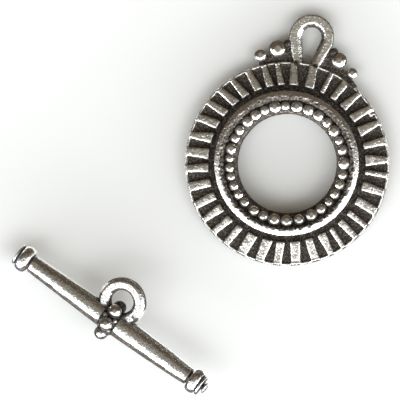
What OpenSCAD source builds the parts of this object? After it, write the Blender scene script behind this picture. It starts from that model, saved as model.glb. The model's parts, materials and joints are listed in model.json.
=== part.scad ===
// Toggle clasp in two castings: a flat ring with a sunray border and a row of beads round its hole,
// and a bar with a ball band, a loop and turned end knobs.
// The ring lies on its flat back on z = 0, with the hole's axis on Z and its loop towards +Y.
// The bar lies beside it on its ball band and its left knob.

/* [Ring] */
// Outer radius of the ring
ring_r = 11.5; // [10.8:0.1:12.5]
// Radius of the round hole that the bar goes through
bore_r = 5.65; // [5.2:0.05:5.8]
// Thickness of the plate, which is the floor between the rays
plate_t = 1.1; // [0.9:0.05:1.3]
// Width of the low rim round the edge
rim_w = 0.2; // [0.1:0.05:0.3]
// Height of the rim above the plate
rim_h = 0.15; // [0.05:0.05:0.3]
// Bevel round the hole's upper edge
bore_bevel = 0.3; // [0.1:0.05:0.4]

/* [Collar] */
// Outer radius of the raised collar
collar_r = 8.15; // [8:0.05:8.5]
// Width of the collar
collar_w = 0.95; // [0.8:0.05:1]
// Height of the collar above the back
collar_t = 2.75; // [2.5:0.05:3.2]
// Width of the slope on the collar's outer side
collar_slope_w = 0.5; // [0.3:0.05:0.55]
// Drop of that slope
collar_drop = 0.25; // [0.1:0.05:0.4]
// Bevel on the collar's inner edge
collar_bevel = 0.25; // [0.1:0.05:0.35]

/* [Rays] */
// Number of rays
ray_count = 36; // [30:1:40]
// Direction of the first ray from +X
ray_start = 14.5; // [0:0.5:30]
// Width of the groove between the collar and the rays
ray_groove_w = 0.75; // [0.5:0.05:1]
// Height of the rays at their roots, above the back
ray_root_t = 2.05; // [1.8:0.05:2.3]
// Height of the rays at their tips, above the back
ray_tip_t = 1.6; // [1.5:0.05:1.75]
// Widths of the rays, as a share of those listed for each ray
ray_share = 0.88; // [0.75:0.01:1]
// Lean of the rays' side walls
ray_draft = 6; // [4:1:12]

/* [Bead row] */
// Number of beads round the hole
bead_count = 33; // [28:1:34]
// Radius of an average bead
bead_r = 0.555; // [0.45:0.005:0.58]
// Radius of the circle that the beads stand on
bead_circle_r = 6.48; // [6.4:0.02:6.6]
// Height of the seat under the beads, above the back
seat_t = 1.85; // [1.6:0.05:2]
// Height of the beads' centres above their seat
bead_lift = 0.2; // [0.1:0.05:0.3]

/* [Ring loop] */
// Outer radius of the loop's round end
loop_r = 2.5; // [2.3:0.05:2.7]
// Radius of the loop's wire
loop_wire_r = 0.68; // [0.6:0.02:0.75]
// Half the thickness between the wire's flattened faces
wire_half_t = 0.52; // [0.46:0.01:0.53]
// Radius of the legs where they meet the ring
leg_tip_r = 0.58; // [0.54:0.02:0.62]
// How far the loop stands out past the ring's edge
loop_reach = 5.55; // [5:0.05:6]
// Lean of each leg towards the other
loop_lean = 16; // [10:1:20]
// Height of the wire's centre above the back
loop_lift = 0.82; // [0.78:0.02:0.95]

/* [Shoulder balls] */
// Radius of the large ball on the left of the loop
big_ball_r = 0.94; // [0.8:0.01:0.98]
// Radius of the small ball beside it
small_ball_r = 0.68; // [0.55:0.01:0.72]
// Radius of the large ball on the right
right_big_r = 0.88; // [0.8:0.01:0.95]
// Radius of the small ball beside that
right_small_r = 0.57; // [0.5:0.01:0.68]
// Turn of the large balls from the loop
big_ball_turn = 15.8; // [15:0.2:17]
// Turn of the small balls from the loop
small_ball_turn = 24.8; // [24:0.2:26]
// Distance of the large balls' centres past the ring's edge
big_ball_out = 1.5; // [1.3:0.05:1.6]
// Distance of the small balls' centres past the ring's edge
small_ball_out = 1.05; // [0.9:0.05:1.15]
// Height of the balls' centres above the back
ball_lift = 0.98; // [0.96:0.02:1.1]
// Thickness of the web that carries the loop and the balls
web_t = 0.9; // [0.7:0.05:1.05]
// Reach of the web past the ring's edge between the large balls
web_mid_out = 2.1; // [1.7:0.05:2.2]
// Reach of the web past the ring's edge at its ends
web_end_out = 0.85; // [0.7:0.05:0.95]

/* [Bar] */
// Length from the ball band to the right tip
right_len = 13.4; // [12.8:0.1:14]
// Length from the ball band to the left tip
left_len = 12.95; // [12.4:0.05:14]
// Shaft radius at the middle
bar_mid_r = 1.32; // [1.24:0.01:1.38]
// Shaft radius at its ends
bar_end_r = 0.98; // [0.92:0.01:1.15]
// Shape of the shaft's taper on the right, where 1 is straight and 2 is rounded
right_taper = 2; // [1:0.1:2.5]
// Shape of the taper on the left
left_taper = 1.2; // [1:0.1:2.5]

/* [End knobs] */
// Radius of the barrel bead near the right end
knob_r = 1.42; // [1.3:0.01:1.5]
// Length of the barrel bead near the right end
knob_len = 1.12; // [0.9:0.02:1.3]
// Radius of the larger barrel bead near the left end
left_knob_r = 1.52; // [1.4:0.01:1.6]
// Length of the barrel bead near the left end
left_knob_len = 1.25; // [1:0.05:1.4]
// Radius of both barrel beads at their edges
knob_edge_r = 1.12; // [1.05:0.01:1.2]
// Width of the groove between the shaft and a barrel bead
neck_w = 0.3; // [0.2:0.05:0.4]
// Radius at the bottom of the grooves beside a barrel bead
neck_r = 0.75; // [0.6:0.05:0.85]
// Radius of the thin disc outside each barrel bead
disc_r = 1.2; // [1.1:0.02:1.3]
// Thickness of the disc
disc_t = 0.22; // [0.15:0.01:0.3]
// Width of the groove between a barrel bead and its disc
fine_w = 0.18; // [0.1:0.01:0.24]
// Width of the groove between the right disc and the button
outer_neck_w = 0.2; // [0.15:0.01:0.3]
// Radius of the button on the right end
button_r = 0.67; // [0.6:0.01:0.7]
// Length of the button
button_t = 0.42; // [0.35:0.01:0.55]

/* [Ball band] */
// Number of balls round the bar
band_count = 6; // [5:1:6]
// Radius of the balls
band_ball_r = 0.76; // [0.72:0.01:0.8]
// Radius of the circle of ball centres
band_circle_r = 1.76; // [1.7:0.02:1.82]
// Turn of the first ball from the bar loop, up from the table
band_turn = -10; // [-20:1:0]
// Half the width of the band
band_half = 1; // [0.9:0.02:1.1]
// Radius of the core under the balls
core_r = 1.2; // [1.12:0.02:1.26]
// Width of the nick on each side of the band
nick_w = 0.22; // [0.15:0.01:0.25]
// Radius at the bottom of the nick
nick_r = 0.98; // [0.9:0.01:1.04]
// Radius of the small grains between the balls
grain_r = 0.27; // [0.22:0.01:0.3]

/* [Bar loop] */
// Outer radius of the loop
bar_loop_r = 2.74; // [2.6:0.02:2.9]
// Radius of its wire
bar_wire_r = 0.7; // [0.66:0.01:0.76]
// Half the thickness between its flattened faces
bar_wire_half_t = 0.63; // [0.5:0.01:0.65]
// Distance from the bar's axis to the loop's centre
bar_loop_out = 2.62; // [2.45:0.01:2.68]
// Rise of the loop's far side as the bar lies
bar_loop_rise = 16; // [0:1:20]

/* [How the bar lies] */
// Distance between the ring's edge and the bar's middle
lay_gap = 15.1; // [14:0.1:18]
// Direction of the bar's middle from the ring's centre
lay_dir = 232.6; // [225:0.1:240]
// Direction of the bar's raised end
lay_turn = -24.5; // [-35:0.5:-15]

/* [Hidden] */
$fn = 96;
ball_fn = 48;
metal = [0.62, 0.61, 0.58];

// cast by hand, so no two rays are alike: each row is [root_shift, root, tip_shift, tip], where the
// shifts and the widths of the root and the tip are shares of the pitch between rays
ray_rows = [
    [-0.15, 0.90, -0.15, 0.30], [-0.10, 0.45, -0.05, 0.45], [0.00, 0.85, 0.05, 0.25],
    [0.10, 0.70, 0.00, 0.30], [0.15, 0.70, 0.05, 0.20], [0.10, 0.50, 0.05, 0.40],
    [0.00, 0.35, 0.00, 0.20], [0.00, 0.75, 0.10, 0.45], [0.15, 0.70, 0.25, 0.30],
    [0.05, 0.50, 0.20, 0.20], [-0.15, 0.60, 0.00, 0.25], [-0.25, 0.65, -0.05, 0.30],
    [-0.25, 0.65, 0.00, 0.25], [-0.35, 0.70, -0.10, 0.30], [-0.30, 0.65, -0.15, 0.30],
    [-0.30, 0.70, -0.10, 0.40], [-0.25, 0.85, 0.00, 0.30], [-0.05, 0.85, -0.05, 0.45],
    [-0.05, 0.70, -0.05, 0.35], [0.05, 0.60, 0.00, 0.50], [0.05, 0.65, 0.10, 0.40],
    [0.05, 0.70, 0.05, 0.25], [0.05, 0.60, -0.05, 0.30], [0.00, 0.50, -0.10, 0.35],
    [0.10, 0.85, -0.05, 0.55], [0.25, 0.85, 0.05, 0.45], [0.20, 0.65, 0.10, 0.40],
    [0.25, 0.80, 0.15, 0.50], [0.25, 0.55, 0.30, 0.45], [0.25, 0.70, 0.25, 0.25],
    [0.05, 0.35, 0.05, 0.20], [-0.10, 0.50, -0.05, 0.30], [-0.20, 0.45, -0.20, 0.20],
    [-0.15, 0.65, -0.20, 0.45], [0.00, 0.70, -0.05, 0.35], [0.00, 0.35, -0.05, 0.25]];

// each row is [shift, size] of a bead, as a share of the pitch and of the average bead
bead_rows = [
    [0.00, 1.25], [0.25, 1.05], [0.15, 0.85], [0.15, 1.15], [0.15, 0.95], [0.15, 1.05],
    [0.20, 1.05], [0.30, 1.15], [0.35, 0.85], [0.30, 1.15], [0.30, 0.85], [0.25, 1.00],
    [0.20, 1.05], [0.25, 0.90], [0.10, 0.90], [0.15, 1.05], [0.00, 0.80], [-0.10, 0.85],
    [-0.30, 0.85], [-0.40, 0.95], [-0.50, 0.95], [-0.60, 0.90], [-0.45, 1.00], [-0.45, 0.95],
    [-0.40, 1.20], [-0.25, 1.15], [-0.10, 1.00], [0.10, 1.15], [0.15, 1.00], [0.10, 0.80],
    [0.05, 1.00], [0.00, 1.00], [-0.05, 0.95]];
bead_start = 11;

arc_step = 22.5;
sink = 0.3;

collar_in_r = collar_r - collar_w;
ray_root_r = collar_r + ray_groove_w;
ray_tip_r = ring_r - rim_w / 2;
ray_pitch = 360 / ray_count;
bead_pitch = 360 / bead_count;

loop_mid_r = loop_r - loop_wire_r;
loop_y = ring_r + loop_reach - loop_r;
leg_x = loop_mid_r * cos(loop_lean);
leg_y = loop_y - loop_mid_r * sin(loop_lean);
leg_end_y = ring_r - sink;
leg_len = (leg_y - leg_end_y) / cos(loop_lean);
leg_end_x = leg_x - leg_len * sin(loop_lean);
joint_r = 1.03 * loop_wire_r;
joint_gap = 0.1;
web_tuck = 1.7;

button_x = right_len - button_t;
disc_x = button_x - outer_neck_w - disc_t;
knob_x = disc_x - fine_w - knob_len / 2;
left_knob_x = left_len - disc_t - fine_w - left_knob_len / 2;
shaft_steps = 8;
bar_loop_mid_r = bar_loop_r - bar_wire_r;
band_pitch = 360 / band_count;
grain_x = band_half - nick_w - grain_r / 2;
grain_circle_r = core_r + grain_r / 2;

// the bar rests on the lowest ball of its band and on the barrel bead of its left end
ball_depth = max([for (i = [0:band_count - 1]) -band_circle_r * sin(band_turn + i * band_pitch)]);
rest_span = norm([left_knob_x, ball_depth - left_knob_r]);
bar_tip = atan2(ball_depth - left_knob_r, left_knob_x) + asin(band_ball_r / rest_span);
bar_h = ball_depth * cos(bar_tip) + band_ball_r;
lay_r = ring_r + lay_gap;

function on_circle(r, turn) = [r * cos(turn), r * sin(turn)];

// the plate, rim, collar and bead seat turned as one section round the hole
module ring_body() {
    rotate_extrude() polygon([
        [bore_r, 0], [ring_r, 0], [ring_r, plate_t + rim_h], [ring_r - rim_w, plate_t + rim_h],
        [ring_r - rim_w, plate_t], [collar_r, plate_t], [collar_r, collar_t - collar_drop],
        [collar_r - collar_slope_w, collar_t], [collar_in_r + collar_bevel, collar_t],
        [collar_in_r, collar_t - collar_bevel], [collar_in_r, seat_t],
        [bore_r + bore_bevel, seat_t], [bore_r, seat_t - bore_bevel]]);
}

// all that lies on one side of a ray's wall, from its root to its tip; side is 1 or -1
module ray_side(root_turn, tip_turn, side) {
    from = on_circle(ray_root_r, root_turn);
    run = on_circle(ray_tip_r, tip_turn) - from;
    block = ray_tip_r - collar_r;
    translate([from.x, from.y, ray_root_t])
        rotate([0, 0, atan2(run.y, run.x)])
            rotate([side * ray_draft, 0, 0])
                translate([-sink, side > 0 ? -block : 0, -block])
                    cube([norm(run) + 2 * sink, block, 2 * block]);
}

module ray_wedge(i) {
    row = ray_rows[i % len(ray_rows)];
    root = ray_start + (i + row[0]) * ray_pitch;
    tip = ray_start + (i + row[2]) * ray_pitch;
    root_half = row[1] * ray_share * ray_pitch / 2;
    tip_half = row[3] * ray_share * ray_pitch / 2;
    intersection() {
        ray_side(root + root_half, tip + tip_half, 1);
        ray_side(root - root_half, tip - tip_half, -1);
    }
}

// the rays slope down from the collar to the rim
module rays() {
    foot = (ray_root_t - plate_t) * tan(ray_draft);
    intersection() {
        rotate_extrude() polygon([
            [ray_root_r - foot, plate_t - sink], [ray_tip_r, plate_t - sink],
            [ray_tip_r, ray_tip_t], [ray_root_r, ray_root_t], [ray_root_r - foot, plate_t]]);
        for (i = [0:ray_count - 1]) ray_wedge(i);
    }
}

module bead_row() {
    for (i = [0:bead_count - 1]) {
        row = bead_rows[i % len(bead_rows)];
        rotate([0, 0, bead_start + (i + row[0]) * bead_pitch])
            translate([bead_circle_r, 0, seat_t + bead_lift])
                sphere(r = bead_r * row[1], $fn = ball_fn);
    }
}

// a leg starts a little below the round end, inside the slight swelling that joins the two
module loop_leg() {
    translate([leg_x, leg_y, loop_lift]) {
        sphere(r = joint_r);
        rotate([90, 0, -loop_lean])
            translate([0, 0, joint_gap])
                cylinder(h = leg_len - joint_gap, r1 = loop_wire_r, r2 = leg_tip_r);
    }
}

// a round wire end on two legs that lean together towards the ring, flattened above and below
module ring_loop() {
    reach = loop_y + loop_r - leg_end_y + sink;
    intersection() {
        union() {
            translate([0, loop_y, loop_lift])
                rotate_extrude(angle = 180 + 2 * loop_lean, start = -loop_lean)
                    translate([loop_mid_r, 0]) circle(r = loop_wire_r);
            loop_leg();
            mirror([1, 0, 0]) loop_leg();
        }
        translate([-loop_r - sink, leg_end_y - sink, loop_lift - wire_half_t])
            cube([2 * (loop_r + sink), reach + sink, 2 * wire_half_t]);
    }
}

// a low web that carries the balls, open between the loop's legs
module web() {
    difference() {
        union() {
            web_sector(big_ball_turn - web_tuck, web_mid_out);
            web_sector(small_ball_turn + web_tuck, web_end_out);
        }
        translate([0, 0, -sink])
            linear_extrude(web_t + 2 * sink)
                polygon([[-leg_end_x, 0], [leg_end_x, 0], [loop_mid_r, loop_y], [-loop_mid_r, loop_y]]);
    }
}

module web_sector(half_turn, out) {
    rotate_extrude(angle = 2 * half_turn, start = 90 - half_turn)
        translate([ring_r - sink, 0]) square([sink + out, web_t]);
}

module shoulder_ball(turn, out, r) {
    rotate([0, 0, turn]) translate([0, ring_r + out, ball_lift]) sphere(r = r, $fn = ball_fn);
}

module shoulder_balls() {
    shoulder_ball(big_ball_turn, big_ball_out, big_ball_r);
    shoulder_ball(small_ball_turn, small_ball_out, small_ball_r);
    shoulder_ball(-big_ball_turn, big_ball_out, right_big_r);
    shoulder_ball(-small_ball_turn, small_ball_out, right_small_r);
}

module clasp_ring() color(metal) union() {
    ring_body();
    rays();
    bead_row();
    web();
    ring_loop();
    shoulder_balls();
}

// half of the bar's section, from the middle of the ball band to the disc outside a barrel bead at
// x with radius r and length l; points are [radius, distance], and the shaft swells to the middle
function half_bar(x, r, l, taper) =
    let (shaft_end = x - l / 2 - neck_w, disc_start = x + l / 2 + fine_w) concat(
    [[core_r, 0], [core_r, band_half - nick_w], [nick_r, band_half - nick_w], [nick_r, band_half]],
    [for (i = [0:shaft_steps]) let (at = band_half + (shaft_end - band_half) * i / shaft_steps)
        [bar_end_r + (bar_mid_r - bar_end_r) * (1 - pow(at / shaft_end, taper)), at]],
    [[neck_r, shaft_end], [neck_r, shaft_end + neck_w]],
    [for (a = [0:arc_step:180]) [knob_edge_r + (r - knob_edge_r) * sin(a), x - l / 2 * cos(a)]],
    [[neck_r, x + l / 2], [neck_r, disc_start], [disc_r, disc_start], [disc_r, disc_start + disc_t]]);

function button() = concat(
    [[button_r / 2, disc_x + disc_t], [button_r / 2, button_x]],
    [for (a = [0:arc_step:90]) [button_r * cos(a), right_len - button_t / 2 * (1 - sin(a))]]);

// the shaft, its grooves, both end knobs and the button, turned as one section
module bar_body() {
    left = half_bar(left_knob_x, left_knob_r, left_knob_len, left_taper);
    rotate([0, 90, 0]) rotate_extrude() polygon(concat(
        [[0, -left_len]],
        [for (i = [len(left) - 1:-1:1]) [left[i][0], -left[i][1]]],
        half_bar(knob_x, knob_r, knob_len, right_taper),
        button()));
}

module ball_band() {
    for (i = [0:band_count - 1]) {
        rotate([band_turn + i * band_pitch, 0, 0])
            translate([0, band_circle_r, 0]) sphere(r = band_ball_r, $fn = ball_fn);
        for (side = [-1, 1])
            rotate([band_turn + (i + 0.5) * band_pitch, 0, 0])
                translate([side * grain_x, grain_circle_r, 0]) sphere(r = grain_r, $fn = ball_fn);
    }
}

// a ring of wire, flattened above and below, whose far side stands up a little
module bar_loop() {
    rotate([bar_loop_rise, 0, 0]) translate([0, bar_loop_out, 0])
        rotate_extrude() translate([bar_loop_mid_r, 0]) intersection() {
            circle(r = bar_wire_r);
            square([2 * bar_loop_r, 2 * bar_wire_half_t], center = true);
        }
}

module toggle_bar() color(metal)
    translate([lay_r * cos(lay_dir), lay_r * sin(lay_dir), bar_h])
        rotate([0, -bar_tip, lay_turn]) union() {
            bar_body();
            ball_band();
            bar_loop();
        }

clasp_ring();
toggle_bar();
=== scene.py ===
# Toggle clasp in antiqued cast pewter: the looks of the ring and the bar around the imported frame
import json
import math

import bpy
import numpy as np
from mathutils import Matrix, Vector
from mathutils.bvhtree import BVHTree

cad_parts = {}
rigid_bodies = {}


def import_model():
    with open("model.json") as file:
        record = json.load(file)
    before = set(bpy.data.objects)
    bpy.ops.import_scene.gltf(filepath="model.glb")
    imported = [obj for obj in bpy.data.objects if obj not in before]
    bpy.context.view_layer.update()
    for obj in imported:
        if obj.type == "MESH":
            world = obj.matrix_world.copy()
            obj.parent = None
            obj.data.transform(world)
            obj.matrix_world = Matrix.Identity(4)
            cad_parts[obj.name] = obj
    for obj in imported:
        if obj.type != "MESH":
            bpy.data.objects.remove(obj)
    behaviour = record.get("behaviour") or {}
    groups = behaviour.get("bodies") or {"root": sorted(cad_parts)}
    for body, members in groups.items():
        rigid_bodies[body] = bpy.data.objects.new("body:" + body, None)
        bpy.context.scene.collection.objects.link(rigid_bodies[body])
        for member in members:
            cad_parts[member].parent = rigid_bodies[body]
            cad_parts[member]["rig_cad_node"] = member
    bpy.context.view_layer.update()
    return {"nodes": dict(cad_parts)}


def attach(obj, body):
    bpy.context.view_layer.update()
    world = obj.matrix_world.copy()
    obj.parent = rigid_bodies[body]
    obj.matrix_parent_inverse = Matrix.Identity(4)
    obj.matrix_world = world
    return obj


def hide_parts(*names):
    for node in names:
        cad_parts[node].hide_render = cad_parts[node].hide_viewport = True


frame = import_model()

print("frame loaded, nodes:", sorted(frame["nodes"]))

# camera: nearly straight down, a little from the picture's lower right
view = {
    "loopLean": 11.0,                        # degrees that the ring's loop leans to the picture's right
    "lookAt": (-0.008815, -0.006130, 0.0015),
    "height": 0.04561,                       # metres of table from the picture's top to its bottom
    "lens": 600.0,
    "sensor": 36.0,
    "tilt": 3.5,                             # degrees away from straight down
    "tiltTurn": -20.0,                       # direction of that tilt from the picture's right
}

lean = math.radians(view["loopLean"])
imageRight = Vector((math.cos(lean), math.sin(lean), 0))
imageUp = Vector((-math.sin(lean), math.cos(lean), 0))


def setCamera():
    turn, tilt = math.radians(view["tiltTurn"]), math.radians(view["tilt"])
    sideways = imageRight * math.cos(turn) + imageUp * math.sin(turn)
    back = (Vector((0, 0, 1)) * math.cos(tilt) + sideways * math.sin(tilt)).normalized()
    right = imageUp.cross(back).normalized()
    up = back.cross(right)
    distance = view["height"] * view["lens"] / view["sensor"]
    bpy.ops.object.camera_add()
    camera = bpy.context.active_object
    camera.name = "pictureCamera"
    camera.data.lens = view["lens"]
    camera.data.sensor_width = view["sensor"]
    camera.data.clip_start = 0.01
    camera.data.clip_end = 20
    place = Vector(view["lookAt"]) + back * distance
    camera.matrix_world = Matrix.Translation(place) @ Matrix((right, up, back)).transposed().to_4x4()
    bpy.context.scene.camera = camera


setCamera()
print("camera set")


# small helpers for shader nodes
def addNode(tree, kind, values=None, **settings):
    made = tree.nodes.new(kind)
    for name, value in settings.items():
        setattr(made, name, value)
    for socket, value in (values or {}).items():
        made.inputs[socket].default_value = value
    return made


def wire(tree, source, target):
    tree.links.new(source, target)


def feed(tree, given, socket):
    # a number or a colour is set, an output of another node is wired
    if isinstance(given, (int, float)):
        socket.default_value = given
    elif isinstance(given, tuple):
        socket.default_value = (*given, 1)
    else:
        wire(tree, given, socket)


def mathStep(tree, operation, *values, clamp=False):
    made = addNode(tree, "ShaderNodeMath", operation=operation, use_clamp=clamp)
    for value, socket in zip(values, made.inputs):
        feed(tree, value, socket)
    return made.outputs[0]


def softStep(tree, value, low, high):
    made = addNode(tree, "ShaderNodeMapRange", interpolation_type="SMOOTHSTEP")
    for name, given in (("Value", value), ("From Min", low), ("From Max", high)):
        feed(tree, given, made.inputs[name])
    return made.outputs["Result"]


def mixColours(tree, share, first, second):
    made = addNode(tree, "ShaderNodeMix", data_type="RGBA")
    for place, given in ((0, share), (6, first), (7, second)):
        feed(tree, given, made.inputs[place])
    return made.outputs[2]


# studio: one wide soft light at the picture's bottom side, dim warm surroundings, white paper
studio = {
    "lightColour": (0.955, 0.992, 1.0),
    "lightTurn": 3.0,                # degrees that the light lies to the right of the picture's bottom
    "lightLow": 15.5,                # a bright strip along the table, which throws the long soft shadows
    "lightFoot": (2.0, 5.0),         # elevations between which the strip comes in
    "lightStep": (10.0, 17.0),       # and between which it turns into the dimmer middle
    "lightMiddle": 1.6,
    "lightBend": (24.0, 36.0),       # elevations between which the middle turns into the body of the light
    "lightHigh": 3.15,
    "lightTop": (48.0, 64.0),        # elevation where the light starts to fade, and where it ends
    "lightSide": (56.0, 98.0),       # the same to either side
    "zenithGuard": 1.0001,           # a little over 1, so that nothing is divided by zero overhead
    "overhead": (0.33, 0.302, 0.246),
    "overheadFrom": (44.0, 80.0),    # elevations between which the far side turns into the overhead
    "farSide": (0.11, 0.082, 0.055),
    "backdrop": (0.95, 0.95, 0.94),  # what the camera sees past the paper
    "paper": 0.9,
    "paperInMetal": (0.13, 0.145, 0.17),        # painted reflection: what the metal mirrors on the bar's near side, darker than the paper
    "paperBeyond": (0.12, 0.11, 0.095),         # painted reflection on its far side
    "paintedEdgeGlint": (2.5, 2.45, 2.3),           # painted bright reflection close to the far edges
    "barMiddle": (-0.016156, -0.021131),
    "barTurn": -24.5,
    "sideEdge": (-0.0003, 0.0003),              # where one turns into the other, past the bar's axis
    "barStrip": (0.0009, 0.0032),               # the painted bright strip beyond the bar's axis that its far edge mirrors
    "ringStrip": (0.0113, 0.0126),              # distances from the ring's middle, on its upper side only
    "upperSide": (-0.006, 0.0),
    "stripEdge": 0.0003,                        # how far a strip takes to come in
    "stripFade": 0.0005,                        # and to fade out
    "paperSize": 2.4,
    "paperDrop": 0.00001,
}


def sines(angles):
    return [math.sin(math.radians(angle)) for angle in angles]


def buildLight():
    # the sky by elevation: low strip, dimmer middle, body of the light, overhead; and by direction
    world = bpy.data.worlds.new("studioLight")
    bpy.context.scene.world = world
    world.use_nodes = True
    tree = world.node_tree
    tree.nodes.clear()
    ray = addNode(tree, "ShaderNodeTexCoord").outputs["Generated"]
    height = addNode(tree, "ShaderNodeSeparateXYZ")
    wire(tree, ray, height.inputs[0])
    turn = math.radians(studio["lightTurn"])
    towards = imageRight * math.sin(turn) - imageUp * math.cos(turn)
    toFront = addNode(tree, "ShaderNodeVectorMath", {1: tuple(towards)}, operation="DOT_PRODUCT")
    wire(tree, ray, toFront.inputs[0])
    z, front = height.outputs["Z"], toFront.outputs["Value"]
    squared = mathStep(tree, "MULTIPLY", z, z)
    outward = mathStep(tree, "SQRT", mathStep(tree, "SUBTRACT", studio["zenithGuard"], squared))
    topFade, topEnd = sines(studio["lightTop"])
    sideFade, sideEnd = [math.cos(math.radians(angle)) for angle in studio["lightSide"]]
    shape = mathStep(tree, "MULTIPLY",
                     softStep(tree, z, topEnd, topFade),
                     softStep(tree, mathStep(tree, "DIVIDE", front, outward), sideEnd, sideFade))
    shape = mathStep(tree, "MULTIPLY", shape, softStep(tree, z, *sines(studio["lightFoot"])))
    crown = softStep(tree, z, *sines(studio["overheadFrom"]))
    around = mixColours(tree, crown, studio["farSide"], studio["overhead"])
    bright = tuple(c * studio["lightLow"] for c in studio["lightColour"])
    for ends, strength in (("lightStep", "lightMiddle"), ("lightBend", "lightHigh")):
        above = tuple(c * studio[strength] for c in studio["lightColour"])
        bright = mixColours(tree, softStep(tree, z, *sines(studio[ends])), bright, above)
    seen = mixColours(tree, shape, around, bright)
    shown = mixColours(tree, addNode(tree, "ShaderNodeLightPath").outputs["Is Camera Ray"],
                       seen, studio["backdrop"])
    background = addNode(tree, "ShaderNodeBackground")
    wire(tree, shown, background.inputs["Color"])
    output = addNode(tree, "ShaderNodeOutputWorld")
    wire(tree, background.outputs[0], output.inputs["Surface"])


def along(tree, place, direction):
    made = addNode(tree, "ShaderNodeVectorMath", {1: tuple(direction)}, operation="DOT_PRODUCT")
    wire(tree, place, made.inputs[0])
    return made.outputs["Value"]


def stripShare(tree, distance, near, end):
    return mathStep(tree, "MULTIPLY", softStep(tree, distance, near, near + studio["stripEdge"]),
                    softStep(tree, distance, end + studio["stripFade"], end))


def paintedPaperReflection(tree, place):
    # painted reflection: to mirror rays the paper is darker than it is, with painted bright strips past the
    # far edges of the bar and the ring
    turn = math.radians(studio["barTurn"])
    across = Vector((-math.sin(turn), math.cos(turn), 0))
    axis = across.dot(Vector((*studio["barMiddle"], 0)))
    pastBar = mathStep(tree, "SUBTRACT", along(tree, place, across), axis)
    fromRing = addNode(tree, "ShaderNodeVectorMath", operation="LENGTH")
    wire(tree, place, fromRing.inputs[0])
    barStrip = stripShare(tree, pastBar, *studio["barStrip"])
    ringStrip = stripShare(tree, fromRing.outputs["Value"], *studio["ringStrip"])
    upper = softStep(tree, along(tree, place, imageUp), *studio["upperSide"])
    strips = mathStep(tree, "MAXIMUM", barStrip, mathStep(tree, "MULTIPLY", ringStrip, upper))
    beyond = softStep(tree, pastBar, *studio["sideEdge"])
    mirrored = mixColours(tree, beyond, studio["paperInMetal"], studio["paperBeyond"])
    return mixColours(tree, strips, mirrored, studio["paintedEdgeGlint"])


def layPaper():
    bpy.ops.mesh.primitive_plane_add(size=studio["paperSize"], location=(0, 0, -studio["paperDrop"]))
    paper = bpy.context.active_object
    paper.name = "paper"
    finish = bpy.data.materials.new("whitePaper")
    finish.use_nodes = True
    tree = finish.node_tree
    tree.nodes.clear()
    plain = addNode(tree, "ShaderNodeBsdfDiffuse")
    # painted reflection: mirror rays see other colours on the paper than the camera does
    inMetal = addNode(tree, "ShaderNodeLightPath").outputs["Is Glossy Ray"]
    mirrored = paintedPaperReflection(tree, addNode(tree, "ShaderNodeTexCoord").outputs["Object"])
    wire(tree, mixColours(tree, inMetal, (studio["paper"],) * 3, mirrored), plain.inputs["Color"])
    output = addNode(tree, "ShaderNodeOutputMaterial")
    wire(tree, plain.outputs[0], output.inputs["Surface"])
    paper.data.materials.append(finish)


buildLight()
layPaper()
bpy.context.scene.view_settings.view_transform = "Standard"
print("studio built")


# castings: each is worked from a copy of its CAD solid, in millimetres
def pickOnly(piece):
    bpy.ops.object.select_all(action="DESELECT")
    piece.select_set(True)
    bpy.context.view_layer.objects.active = piece


def resize(piece, factor):
    pickOnly(piece)
    piece.scale = (factor,) * 3
    bpy.ops.object.transform_apply(location=True, rotation=True, scale=True)


def useModifier(piece, kind, **values):
    pickOnly(piece)
    added = piece.modifiers.new(kind.lower(), kind)
    for name, value in values.items():
        setattr(added, name, value)
    bpy.ops.object.modifier_apply(modifier=added.name)


def copySolid(nodeName, pieceName):
    pickOnly(frame["nodes"][nodeName])
    bpy.ops.object.duplicate()
    piece = bpy.context.active_object
    piece.name = piece.data.name = pieceName
    del piece["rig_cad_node"]
    piece.parent = None
    piece.data.materials.clear()
    bpy.ops.object.mode_set(mode="EDIT")
    bpy.ops.mesh.select_all(action="SELECT")
    bpy.ops.mesh.remove_doubles(threshold=0.000001)
    bpy.ops.object.mode_set(mode="OBJECT")
    return piece


def groupRing(piece, inner, outer, low):
    # the points between two radii and above a height
    points, _, _ = readMesh(piece)
    radius = np.hypot(points[:, 0], points[:, 1])
    chosen = np.flatnonzero((radius > inner) & (radius < outer) & (points[:, 2] > low))
    piece.vertex_groups.new(name="chosen").add(chosen.tolist(), 1.0, "REPLACE")


def roughen(piece, name, grain, depth, zone):
    # waves and pits left by the mould, over the whole piece or between two radii
    pattern = bpy.data.textures.new(name, "CLOUDS")
    pattern.noise_scale = grain
    pattern.noise_depth = 2
    if zone:
        groupRing(piece, *zone)
    useModifier(piece, "DISPLACE", texture=pattern, texture_coords="LOCAL", strength=depth, mid_level=0.5,
                vertex_group="chosen" if zone else "")
    piece.vertex_groups.clear()


def readMesh(piece):
    mesh = piece.data
    points = np.empty(len(mesh.vertices) * 3, np.float32)
    normals = np.empty(len(mesh.vertices) * 3, np.float32)
    edges = np.empty(len(mesh.edges) * 2, np.int32)
    mesh.vertices.foreach_get("co", points)
    mesh.vertices.foreach_get("normal", normals)
    mesh.edges.foreach_get("vertices", edges)
    return points.reshape(-1, 3), normals.reshape(-1, 3), edges.reshape(-1, 2)


def blur(values, edges, rounds):
    for _ in range(rounds):
        total, count = values.copy(), np.ones(len(values))
        np.add.at(total, edges[:, 0], values[edges[:, 1]])
        np.add.at(total, edges[:, 1], values[edges[:, 0]])
        np.add.at(count, edges[:, 0], 1)
        np.add.at(count, edges[:, 1], 1)
        values = total / count
    return values


def addLumps(piece, lumps):
    # small blobs of solder and flash that the solids leave out
    for x, y, z, size in lumps:
        bpy.ops.mesh.primitive_uv_sphere_add(radius=size, location=(x, y, z), segments=16, ring_count=10)
        lump = bpy.context.active_object
        pickOnly(piece)
        lump.select_set(True)
        bpy.ops.object.join()


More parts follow.
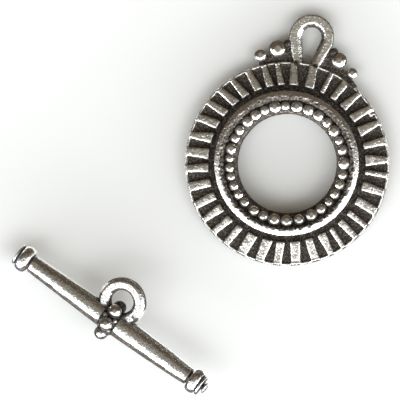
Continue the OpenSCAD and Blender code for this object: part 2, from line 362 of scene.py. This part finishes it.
def soften(piece, settings):
    # the rays are rounder than the rest
    for inner, outer, low, rounds in settings.get("softened", []):
        groupRing(piece, inner, outer, low)
        useModifier(piece, "SMOOTH", factor=0.5, iterations=rounds, vertex_group="chosen")
        piece.vertex_groups.clear()


def offsetFromLoop(points, loop):
    # distance outward from the centreline of a teardrop loop, and whether a point belongs to it
    x, y = np.abs(points[:, 0]), points[:, 1] - loop["y"]
    legLean = math.radians(loop["lean"])
    onLeg = x * math.sin(legLean) + y * math.cos(legLean) < 0
    away = np.where(onLeg, x * math.cos(legLean) - y * math.sin(legLean), np.hypot(x, y)) - loop["mid"]
    near = (np.abs(away) < loop["nearWire"]) & (points[:, 1] > loop["from"])
    return away, near


def shapeLoop(points, loop):
    # worn bevel on the loop's inner edge, and a flat top that runs out to its outer edge
    away, near = offsetFromLoop(points, loop)
    top = loop["lift"] + loop["half"]
    ceiling = top - (loop["bevelFrom"] - away).clip(0) * loop["bevelSlope"]
    upper = near & (points[:, 2] > loop["lift"])
    full = np.sqrt((loop["wire"] ** 2 - away ** 2).clip(0.01)).clip(0, loop["half"])
    towardsEdge = ((away - loop["edgeFrom"]) / loop["edgeWidth"]).clip(0, 1)
    wished = loop["half"] * (1 - loop["edgeDrop"] * towardsEdge ** 2)
    lifted = loop["lift"] + (points[:, 2] - loop["lift"]) * (wished / full).clip(1, loop["mostRaised"])
    raised = upper & (away > loop["raisedFrom"])
    points[raised, 2] = lifted[raised]
    lowered = upper & (points[:, 2] > ceiling)
    points[lowered, 2] = ceiling[lowered]


def writePoints(piece, points):
    # nothing sinks into the table
    points[:, 2] = points[:, 2].clip(0)
    piece.data.vertices.foreach_set("co", points.ravel())
    piece.data.update()


def reshape(piece, settings):
    # beads and balls come out of the mould a little flatter than the solids
    points, normals, _ = readMesh(piece)
    points += normals * settings["swell"]
    radius = np.hypot(points[:, 0], points[:, 1])
    for inner, outer, level, share, swell, lift in settings.get("flatBands", []):
        inside = (radius > inner) & (radius < outer) & (points[:, 2] > level)
        points[inside] += normals[inside] * swell
        above = (points[inside, 2] - level).clip(0)
        points[inside, 2] += lift * (above / settings["liftOver"]).clip(0, 1) - (1 - share) * above
    for turn, out, ballRadius, level, share in settings.get("flatBalls", []):
        angle = math.radians(90 + turn)
        away = np.hypot(points[:, 0] - out * math.cos(angle), points[:, 1] - out * math.sin(angle))
        inside = (away < ballRadius * settings["ballReach"]) & (points[:, 2] > level)
        points[inside, 2] = level + (points[inside, 2] - level) * share
    if "loop" in settings:
        shapeLoop(points, settings["loop"])
    writePoints(piece, points)


def addSpots(extraOxideAndShade, points, spots):
    for x, y, size, amount in spots:
        extraOxideAndShade[np.hypot(points[:, 0] - x, points[:, 1] - y) < size] += amount


def ringZones(points, normals, zones):
    # places where the oxide gathers, whatever their depth, or is rubbed off, and painted shade on the loop's
    # inner wall and under the rim
    radius, z = np.hypot(points[:, 0], points[:, 1]), points[:, 2]
    extraOxideAndShade = np.zeros(len(points))
    for inner, outer, low, high, amount in zones["rings"]:
        extraOxideAndShade[(radius > inner) & (radius < outer) & (z > low) & (z < high)] += amount
    away, near = offsetFromLoop(points, ringLoop)
    # oxide with painted shade: the loop's inner wall is darkened except on the lower left, where light falls
    # on it
    shaded = points[:, 0] + points[:, 1] - ringLoop["y"] > ringLoop["darkSide"]
    extraOxideAndShade[near & shaded & (away < -ringLoop["darkFrom"])] += ringLoop["dark"]
    addSpots(extraOxideAndShade, points, zones["spots"])
    return extraOxideAndShade


def inBarFrame(points, lie):
    # x along the bar, y towards its loop
    turn, tip = math.radians(-lie["turn"]), math.radians(lie["tip"])
    east, north, high = (points - np.array(lie["middle"])).T
    level = math.cos(turn) * east - math.sin(turn) * north
    y = math.sin(turn) * east + math.cos(turn) * north
    return math.cos(tip) * level + math.sin(tip) * high, y, math.cos(tip) * high - math.sin(tip) * level


def barZones(points, normals, zones):
    # the same for the bar: oxide round its band and in its loop; painted shade on the band's low ball, which
    # the others shade, and on the steep faces on the side away from the loop, towards the light
    x, y, z = inBarFrame(points, barLie)
    deep = np.hypot(y, z)
    extraOxideAndShade = np.zeros(len(points))
    halfWidth, depth, amount = zones["band"]
    extraOxideAndShade[(np.abs(x) < halfWidth) & (deep < depth)] += amount
    # painted shade: the low ball beside the loop lies in the others' shade, so it is darkened
    ballY, ballZ, size, amount = zones["shadedLowBall"]
    extraOxideAndShade[np.hypot(np.hypot(x, y - ballY), z - ballZ) < size] += amount
    rise = math.radians(zones["rise"])
    outward, up = math.cos(rise) * y + math.sin(rise) * z, math.cos(rise) * z - math.sin(rise) * y
    out, size, clear, halfThick, amount = zones["eye"]
    extraOxideAndShade[(np.hypot(x, outward - out) < size) & (deep > clear) & (np.abs(up) < halfThick)] += amount
    addSpots(extraOxideAndShade, points, zones["spots"])
    # painted shade: steep faces on the bar's near side, which faces the light, are darkened along its length
    # to give it a dark lower edge
    turn = math.radians(barLie["turn"])
    nearSide = normals[:, 0] * math.sin(turn) - normals[:, 1] * math.cos(turn)
    steep, facing, halfLength, amount = zones["under"]
    extraOxideAndShade[(normals[:, 2] < steep) & (nearSide > facing) & (np.abs(x) < halfLength)] += amount
    return extraOxideAndShade


def findPolished(points, polished):
    # balls and beads are rubbed smoother than the flat parts
    smooth = np.zeros(len(points))
    for inner, outer, low in polished.get("bands", []):
        radius = np.hypot(points[:, 0], points[:, 1])
        smooth[(radius > inner) & (radius < outer) & (points[:, 2] > low)] = 1
    for x, y, size, low in polished.get("balls", []):
        smooth[(np.hypot(points[:, 0] - x, points[:, 1] - y) < size) & (points[:, 2] > low)] = 1
    return smooth


marking = {
    "rays": 44,              # directions in which each point looks for the sky
    "quickRays": 24,
    "start": 0.02,           # millimetres off the surface
    "grazing": 0.05,         # flatter directions than this don't count
    "farLess": 0.4,          # how much less a far wall hides than a near one
    "edgeGain": 2.5,
    "keptFrom": 0.1,         # zones stronger than this aren't rubbed bright
}


def spreadDirections(count):
    golden = math.pi * (3 - math.sqrt(5))
    directions = []
    for i in range(count):
        z = 1 - (2 * i + 1) / count
        across = math.sqrt(1 - z * z)
        directions.append(Vector((across * math.cos(golden * i), across * math.sin(golden * i), z)))
    return directions


def findRecess(piece, points, normals, reach):
    # how much of the sky near a point is shut off
    directions = spreadDirections(marking["rays"])
    tree = BVHTree.FromObject(piece, bpy.context.evaluated_depsgraph_get())
    recessAndShade = np.zeros(len(points))
    for i, (point, normal) in enumerate(zip(points, normals)):
        normal = Vector(normal)
        start = Vector(point) + normal * marking["start"]
        hidden = total = 0.0
        for direction in directions:
            if normal.dot(direction) > marking["grazing"]:
                total += 1
                distance = tree.ray_cast(start, direction, reach)[3]
                if distance is not None:
                    hidden += 1 - marking["farLess"] * distance / reach
        recessAndShade[i] = hidden / total if total else 0
    return recessAndShade


def findWear(points, normals, edges):
    # how far an edge stands out: convex edges come out positive
    side = points[edges[:, 1]] - points[edges[:, 0]]
    length = np.linalg.norm(side, axis=1) + 1e-9
    bend, count = np.zeros(len(points)), np.zeros(len(points))
    for end, sign in ((0, -1), (1, 1)):
        np.add.at(bend, edges[:, end], sign * (normals[edges[:, end]] * side).sum(axis=1) / length)
        np.add.at(count, edges[:, end], 1)
    return blur(bend / np.maximum(count, 1), edges, 2) * marking["edgeGain"]


def markCasting(piece, settings):
    # red: recess and zones, painted shade among them; green: wear; blue: polish
    points, normals, edges = readMesh(piece)
    recessAndShade = findRecess(piece, points, normals, settings["reach"])
    wear = findWear(points, normals, edges)
    extraOxideAndShade = settings["findZones"](points, normals, settings["zones"])
    marks = np.ones((len(points), 4), np.float32)
    marks[:, 0] = blur(recessAndShade + extraOxideAndShade, edges, 1).clip(0, 1)
    marks[:, 1] = wear.clip(0, 1) * (extraOxideAndShade < marking["keptFrom"])
    marks[:, 2] = blur(findPolished(points, settings["polished"]), edges, 1)
    layer = piece.data.color_attributes.new("castMarks", "FLOAT_COLOR", "POINT")
    layer.data.foreach_set("color", marks.ravel())


def makeCasting(nodeName, pieceName, settings):
    piece = copySolid(nodeName, pieceName)
    resize(piece, 1000)
    addLumps(piece, settings.get("lumps", []))
    useModifier(piece, "REMESH", mode="VOXEL", voxel_size=settings["voxel"])
    useModifier(piece, "SMOOTH", factor=0.5, iterations=settings["rounding"])
    soften(piece, settings)
    reshape(piece, settings)
    for name, grain, depth, *zone in settings["unevenness"]:
        roughen(piece, name, grain, depth, zone)
    triangles = 2 * len(piece.data.polygons)
    if triangles > settings["triangles"]:
        useModifier(piece, "DECIMATE", ratio=settings["triangles"] / triangles)
    writePoints(piece, readMesh(piece)[0])
    markCasting(piece, settings)
    resize(piece, 0.001)
    bpy.ops.object.shade_smooth()
    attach(piece, "root")
    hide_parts(nodeName)
    print(pieceName, "has", len(piece.data.polygons), "faces")
    return piece


# where the solids have the ring's loop: its round end's middle, the lean of its legs, its wire
ringLoop = {
    "y": 14.55,
    "lean": 16.0,
    "mid": 1.82,
    "wire": 0.68,
    "nearWire": 0.748,       # points closer to the centreline than this belong to it
    "from": 11.9,
    "lift": 0.82,            # height of the wire's middle
    "half": 0.52,            # half its flattened thickness
    "bevelFrom": -0.2,       # worn inner edge
    "bevelSlope": 0.85,
    "raisedFrom": 0.3,       # top made flat out to the outer edge
    "edgeFrom": 0.35,
    "edgeWidth": 0.33,
    "edgeDrop": 0.25,
    "mostRaised": 1.5,
    "darkFrom": 0.42,        # oxide and painted shade on the inner wall, all but the lower left, which faces the light
    "darkSide": -0.4,
    "dark": 0.6,
}
# where the solids have the bar: its middle, its turn on the table and the rise of its right end
barLie = {"middle": (-16.156, -21.131, 2.4092), "turn": -24.5, "tip": 4.297}

ringCasting = {
    "findZones": ringZones,
    "zones": {
        # inner and outer radius, lowest and highest point, amount
        "rings": [(0.0, 5.75, 0.0, 1.2, 0.8),          # wall of the hole
                  (5.5, 5.98, 1.2, 1.9, 0.5),          # bevel round the hole
                  (5.95, 7.25, 1.6, 1.98, 0.4),        # seat between the beads
                  (7.1, 7.34, 1.98, 2.9, 0.1),         # collar, less and less from its inner edge
                  (7.1, 7.5, 2.2, 2.9, 0.1),
                  (7.1, 7.66, 2.3, 2.9, 0.12),
                  (7.1, 7.82, 2.4, 2.9, 0.08),
                  (8.1, 11.2, 0.9, 1.3, 0.35),         # floor between the rays
                  (11.28, 11.6, 1.18, 1.5, -0.15),     # rim
                  (11.43, 11.8, 0.0, 1.15, 0.5),       # outer wall under it, darkened as painted shade for a dark outline
                  (11.55, 14.0, 0.3, 0.97, 0.4)],      # web
        "spots": [(-2.52, 13.33, 0.4, 0.7), (-2.75, 13.0, 0.25, 0.6), (2.8, 13.41, 0.4, 0.7),
                  (2.95, 12.9, 0.25, 0.6), (5.45, 10.2, 0.6, 0.5),
                  (-1.05, 11.32, 0.3, 0.6), (1.05, 11.32, 0.3, 0.6)],
    },
    "polished": {"bands": [(5.75, 7.12, 1.97)],
                 "balls": [(-3.54, 12.51, 0.95, 1.1), (3.54, 12.51, 0.9, 1.1),
                           (-5.26, 11.39, 0.7, 1.1), (5.26, 11.39, 0.6, 1.1)]},
    "voxel": 0.075,
    "rounding": 3,
    "swell": 0.03,
    "softened": [(8.4, 11.25, 1.2, 20)],         # inner and outer radius, lowest point, rounds
    "lumps": [(-2.52, 13.33, 0.85, 0.42), (2.8, 13.41, 0.85, 0.4), (2.95, 12.9, 0.85, 0.36),
              (5.35, 10.2, 0.6, 0.42), (5.75, 9.9, 0.6, 0.34), (8.26, 7.2, 1.25, 0.3)],
    "loop": ringLoop,
    "unevenness": [("ringWaves", 1.6, 0.05), ("ringPits", 0.35, 0.06),
                   ("collarPits", 0.3, 0.36, 7.12, 7.66, 2.1),
                   ("rayWaves", 0.6, 0.07, 8.3, 11.2, 1.25)],
    # inner and outer radius, level, share of the height kept, swell and lift
    "flatBands": [(5.72, 7.13, 1.93, 0.68, 0.04, 0.18), (11.24, 11.6, 1.15, 1.0, 0.0, 0.03)],
    "liftOver": 0.08,                            # height over which a lifted band comes off its seat
    # turn from the loop, distance from the middle, radius, level, share of the height kept
    "flatBalls": [(-15.8, 13.0, 0.88, 0.98, 0.72), (15.8, 13.0, 0.94, 0.98, 0.72),
                  (-24.8, 12.55, 0.57, 0.98, 0.72), (24.8, 12.55, 0.68, 0.98, 0.72)],
    "ballReach": 1.06,
    "triangles": 190000,
    "reach": 2.4,                                # how far off a wall still hides the sky
}

barCasting = {
    "findZones": barZones,
    "zones": {
        "band": (1.02, 1.5, 0.5),                      # half width, depth, amount
        "shadedLowBall": (1.733, -0.306, 0.84, 0.4),         # painted shade on the low ball, which the others shade: y, z, size, amount
        "rise": 16.0,                                  # degrees, of the loop's far side
        "eye": (2.62, 1.43, 1.45, 0.75, 0.5),          # out, size, clear of the axis, half thickness, amount
        "spots": [(-13.43, -20.25, 0.4, 0.2)],
        "under": (0.78, 0.3, 11.6, 0.42),              # painted shade on the near side's steep faces: normal's upward and near shares, half length, amount
    },
    "polished": {"balls": [(-15.78, -20.06, 0.82, 3.2), (-16.52, -21.63, 0.82, 3.3),
                           (-16.9, -22.7, 0.82, 1.9)]},
    "voxel": 0.055,
    "rounding": 3,
    "swell": 0.03,
    "unevenness": [("barWaves", 2.2, 0.05), ("barPits", 0.4, 0.03)],
    "triangles": 150000,
    "reach": 1.5,
}

ring = makeCasting("clasp_ring", "ringHalf", ringCasting)
bar = makeCasting("toggle_bar", "barHalf", barCasting)


# finishes: the limits between which a noise comes to show
noiseEnds = {
    "specks": (0.56, 0.7),
    "pits": (0.35, 0.1),
    "tarnish": (0.35, 0.7),
    "flecks": (0.47, 0.66),
}


def newGroup(name, inputs, outputs):
    tree = bpy.data.node_groups.new(name, "ShaderNodeTree")
    for label, kind, value in inputs:
        socket = tree.interface.new_socket(label, in_out="INPUT", socket_type=kind)
        if value is not None:
            socket.default_value = value
    for label, kind in outputs:
        tree.interface.new_socket(label, in_out="OUTPUT", socket_type=kind)
    return tree, tree.nodes.new("NodeGroupInput"), tree.nodes.new("NodeGroupOutput")


def noiseAt(tree, vector, scale, detail=3.0, roughness=0.6):
    made = addNode(tree, "ShaderNodeTexNoise", {"Detail": detail, "Roughness": roughness})
    wire(tree, vector, made.inputs["Vector"])
    feed(tree, scale, made.inputs["Scale"])
    return made.outputs[0]


def buildAgedMask():
    # where the dark oxide stays, and the painted shade marked with it: deep places, with a broken edge,
    # rubbed off convex edges
    tree, given, put = newGroup("agedAndShadeMask", [
        ("Vector", "NodeSocketVector", None), ("Recess", "NodeSocketFloat", 0.0),
        ("Wear", "NodeSocketFloat", 0.0), ("Start", "NodeSocketFloat", 0.3),
        ("Full", "NodeSocketFloat", 0.5), ("Ragged", "NodeSocketFloat", 0.2),
        ("Ragged Scale", "NodeSocketFloat", 4000.0), ("Speck Scale", "NodeSocketFloat", 5500.0),
        ("Specks", "NodeSocketFloat", 0.4)], [("Oxide", "NodeSocketFloat")])
    noise = noiseAt(tree, given.outputs["Vector"], given.outputs["Ragged Scale"])
    shift = mathStep(tree, "MULTIPLY", mathStep(tree, "SUBTRACT", noise, 0.5), given.outputs["Ragged"])
    depth = mathStep(tree, "ADD", given.outputs["Recess"], shift)
    oxideAndShade = softStep(tree, depth, given.outputs["Start"], given.outputs["Full"])
    kept = mathStep(tree, "SUBTRACT", 1.0, given.outputs["Wear"], clamp=True)
    dots = noiseAt(tree, given.outputs["Vector"], given.outputs["Speck Scale"])
    specks = mathStep(tree, "MULTIPLY", softStep(tree, dots, *noiseEnds["specks"]), given.outputs["Specks"])
    both = mathStep(tree, "MULTIPLY", mathStep(tree, "MAXIMUM", oxideAndShade, specks), kept)
    wire(tree, both, put.inputs["Oxide"])
    return tree


def buildCastGrain():
    # fine sand-cast grain, sparse pits and a tone that wanders
    tree, given, put = newGroup("castGrain", [
        ("Vector", "NodeSocketVector", None), ("Grain Scale", "NodeSocketFloat", 9000.0),
        ("Pit Scale", "NodeSocketFloat", 3000.0), ("Pit Depth", "NodeSocketFloat", 0.6),
        ("Tone Scale", "NodeSocketFloat", 900.0)],
        [("Height", "NodeSocketFloat"), ("Tone", "NodeSocketFloat")])
    grain = noiseAt(tree, given.outputs["Vector"], given.outputs["Grain Scale"], 2.0)
    pits = addNode(tree, "ShaderNodeTexVoronoi", feature="SMOOTH_F1")
    wire(tree, given.outputs["Vector"], pits.inputs["Vector"])
    wire(tree, given.outputs["Pit Scale"], pits.inputs["Scale"])
    hollow = softStep(tree, pits.outputs["Distance"], *noiseEnds["pits"])
    sunk = mathStep(tree, "MULTIPLY", hollow, given.outputs["Pit Depth"])
    wire(tree, mathStep(tree, "SUBTRACT", grain, sunk), put.inputs["Height"])
    wire(tree, noiseAt(tree, given.outputs["Vector"], given.outputs["Tone Scale"], 4.0), put.inputs["Tone"])
    return tree


agedAndShadeMask = buildAgedMask()
castGrain = buildCastGrain()


def makePewter(name, finish):
    material = bpy.data.materials.new(name)
    material.use_nodes = True
    tree = material.node_tree
    tree.nodes.clear()
    where = addNode(tree, "ShaderNodeTexCoord").outputs["Object"]
    marks = addNode(tree, "ShaderNodeAttribute", attribute_name="castMarks")
    split = addNode(tree, "ShaderNodeSeparateColor")
    wire(tree, marks.outputs["Color"], split.inputs[0])
    recessAndShade, wear, smooth = split.outputs[0], split.outputs[1], split.outputs[2]
    aged = addNode(tree, "ShaderNodeGroup", finish["aged"], node_tree=agedAndShadeMask)
    grain = addNode(tree, "ShaderNodeGroup", finish["grain"], node_tree=castGrain)
    for group in (aged, grain):
        wire(tree, where, group.inputs["Vector"])
    wire(tree, recessAndShade, aged.inputs["Recess"])
    wire(tree, wear, aged.inputs["Wear"])
    oxideAndShade, tone = aged.outputs["Oxide"], grain.outputs["Tone"]
    tarnish = softStep(tree, tone, *noiseEnds["tarnish"])
    metal = mixColours(tree, tarnish, finish["bright"], finish["dull"])
    metal = mixColours(tree, wear, metal, finish["rubbed"])
    flecks = softStep(tree, noiseAt(tree, where, finish["fleckScale"]), *noiseEnds["flecks"])
    crustAndShade = mixColours(tree, flecks, finish["oxideAndShade"], finish["oxideFlecks"])
    skin = mixColours(tree, oxideAndShade, metal, crustAndShade)
    shader = addNode(tree, "ShaderNodeBsdfPrincipled")
    wire(tree, skin, shader.inputs["Base Color"])
    wire(tree, mathStep(tree, "MULTIPLY_ADD", oxideAndShade, -finish["oxideDull"], 1.0), shader.inputs["Metallic"])
    low, high = finish["roughness"]
    gloss = mathStep(tree, "MULTIPLY_ADD", tone, high - low, low)
    plainness = mathStep(tree, "MULTIPLY_ADD", smooth, -finish["polish"], 1.0)
    gloss = mathStep(tree, "MULTIPLY", gloss, plainness)
    gloss = mathStep(tree, "ADD", gloss, mathStep(tree, "MULTIPLY", oxideAndShade, finish["oxideRough"]), clamp=True)
    wire(tree, gloss, shader.inputs["Roughness"])
    bump = addNode(tree, "ShaderNodeBump", {"Strength": 1.0, "Distance": finish["bump"]})
    wire(tree, mathStep(tree, "MULTIPLY", grain.outputs["Height"], plainness), bump.inputs["Height"])
    wire(tree, bump.outputs[0], shader.inputs["Normal"])
    output = addNode(tree, "ShaderNodeOutputMaterial")
    wire(tree, shader.outputs[0], output.inputs["Surface"])
    return material


darkOxideAndShade = {
    "oxideAndShade": (0.04, 0.031, 0.023),
    "oxideFlecks": (0.23, 0.2, 0.175),
    "fleckScale": 4400.0,
    "oxideDull": 0.7,
    "oxideRough": 0.3,
    "polish": 0.65,
}
ringFinish = {
    **darkOxideAndShade,
    "aged": {"Start": 0.18, "Full": 0.34, "Ragged": 0.55, "Ragged Scale": 3300.0,
             "Speck Scale": 3900.0, "Specks": 0.5},
    "grain": {"Grain Scale": 6000.0, "Pit Scale": 3500.0, "Pit Depth": 0.5, "Tone Scale": 2200.0},
    "bright": (0.87, 0.855, 0.835),
    "dull": (0.71, 0.695, 0.67),
    "rubbed": (0.92, 0.905, 0.885),
    "roughness": (0.16, 0.36),
    "bump": 0.00004,
}
barFinish = {
    **darkOxideAndShade,
    "aged": {"Start": 0.15, "Full": 0.29, "Ragged": 0.25, "Ragged Scale": 4500.0,
             "Speck Scale": 4200.0, "Specks": 0.42},
    "grain": {"Grain Scale": 4500.0, "Pit Scale": 2500.0, "Pit Depth": 0.25, "Tone Scale": 2200.0},
    "bright": (0.83, 0.833, 0.845),
    "dull": (0.65, 0.65, 0.65),
    "rubbed": (0.91, 0.91, 0.915),
    "roughness": (0.1, 0.3),
    "bump": 0.00006,
}

ring.data.materials.append(makePewter("ringPewter", ringFinish))
bar.data.materials.append(makePewter("barPewter", barFinish))
print("finishes made")
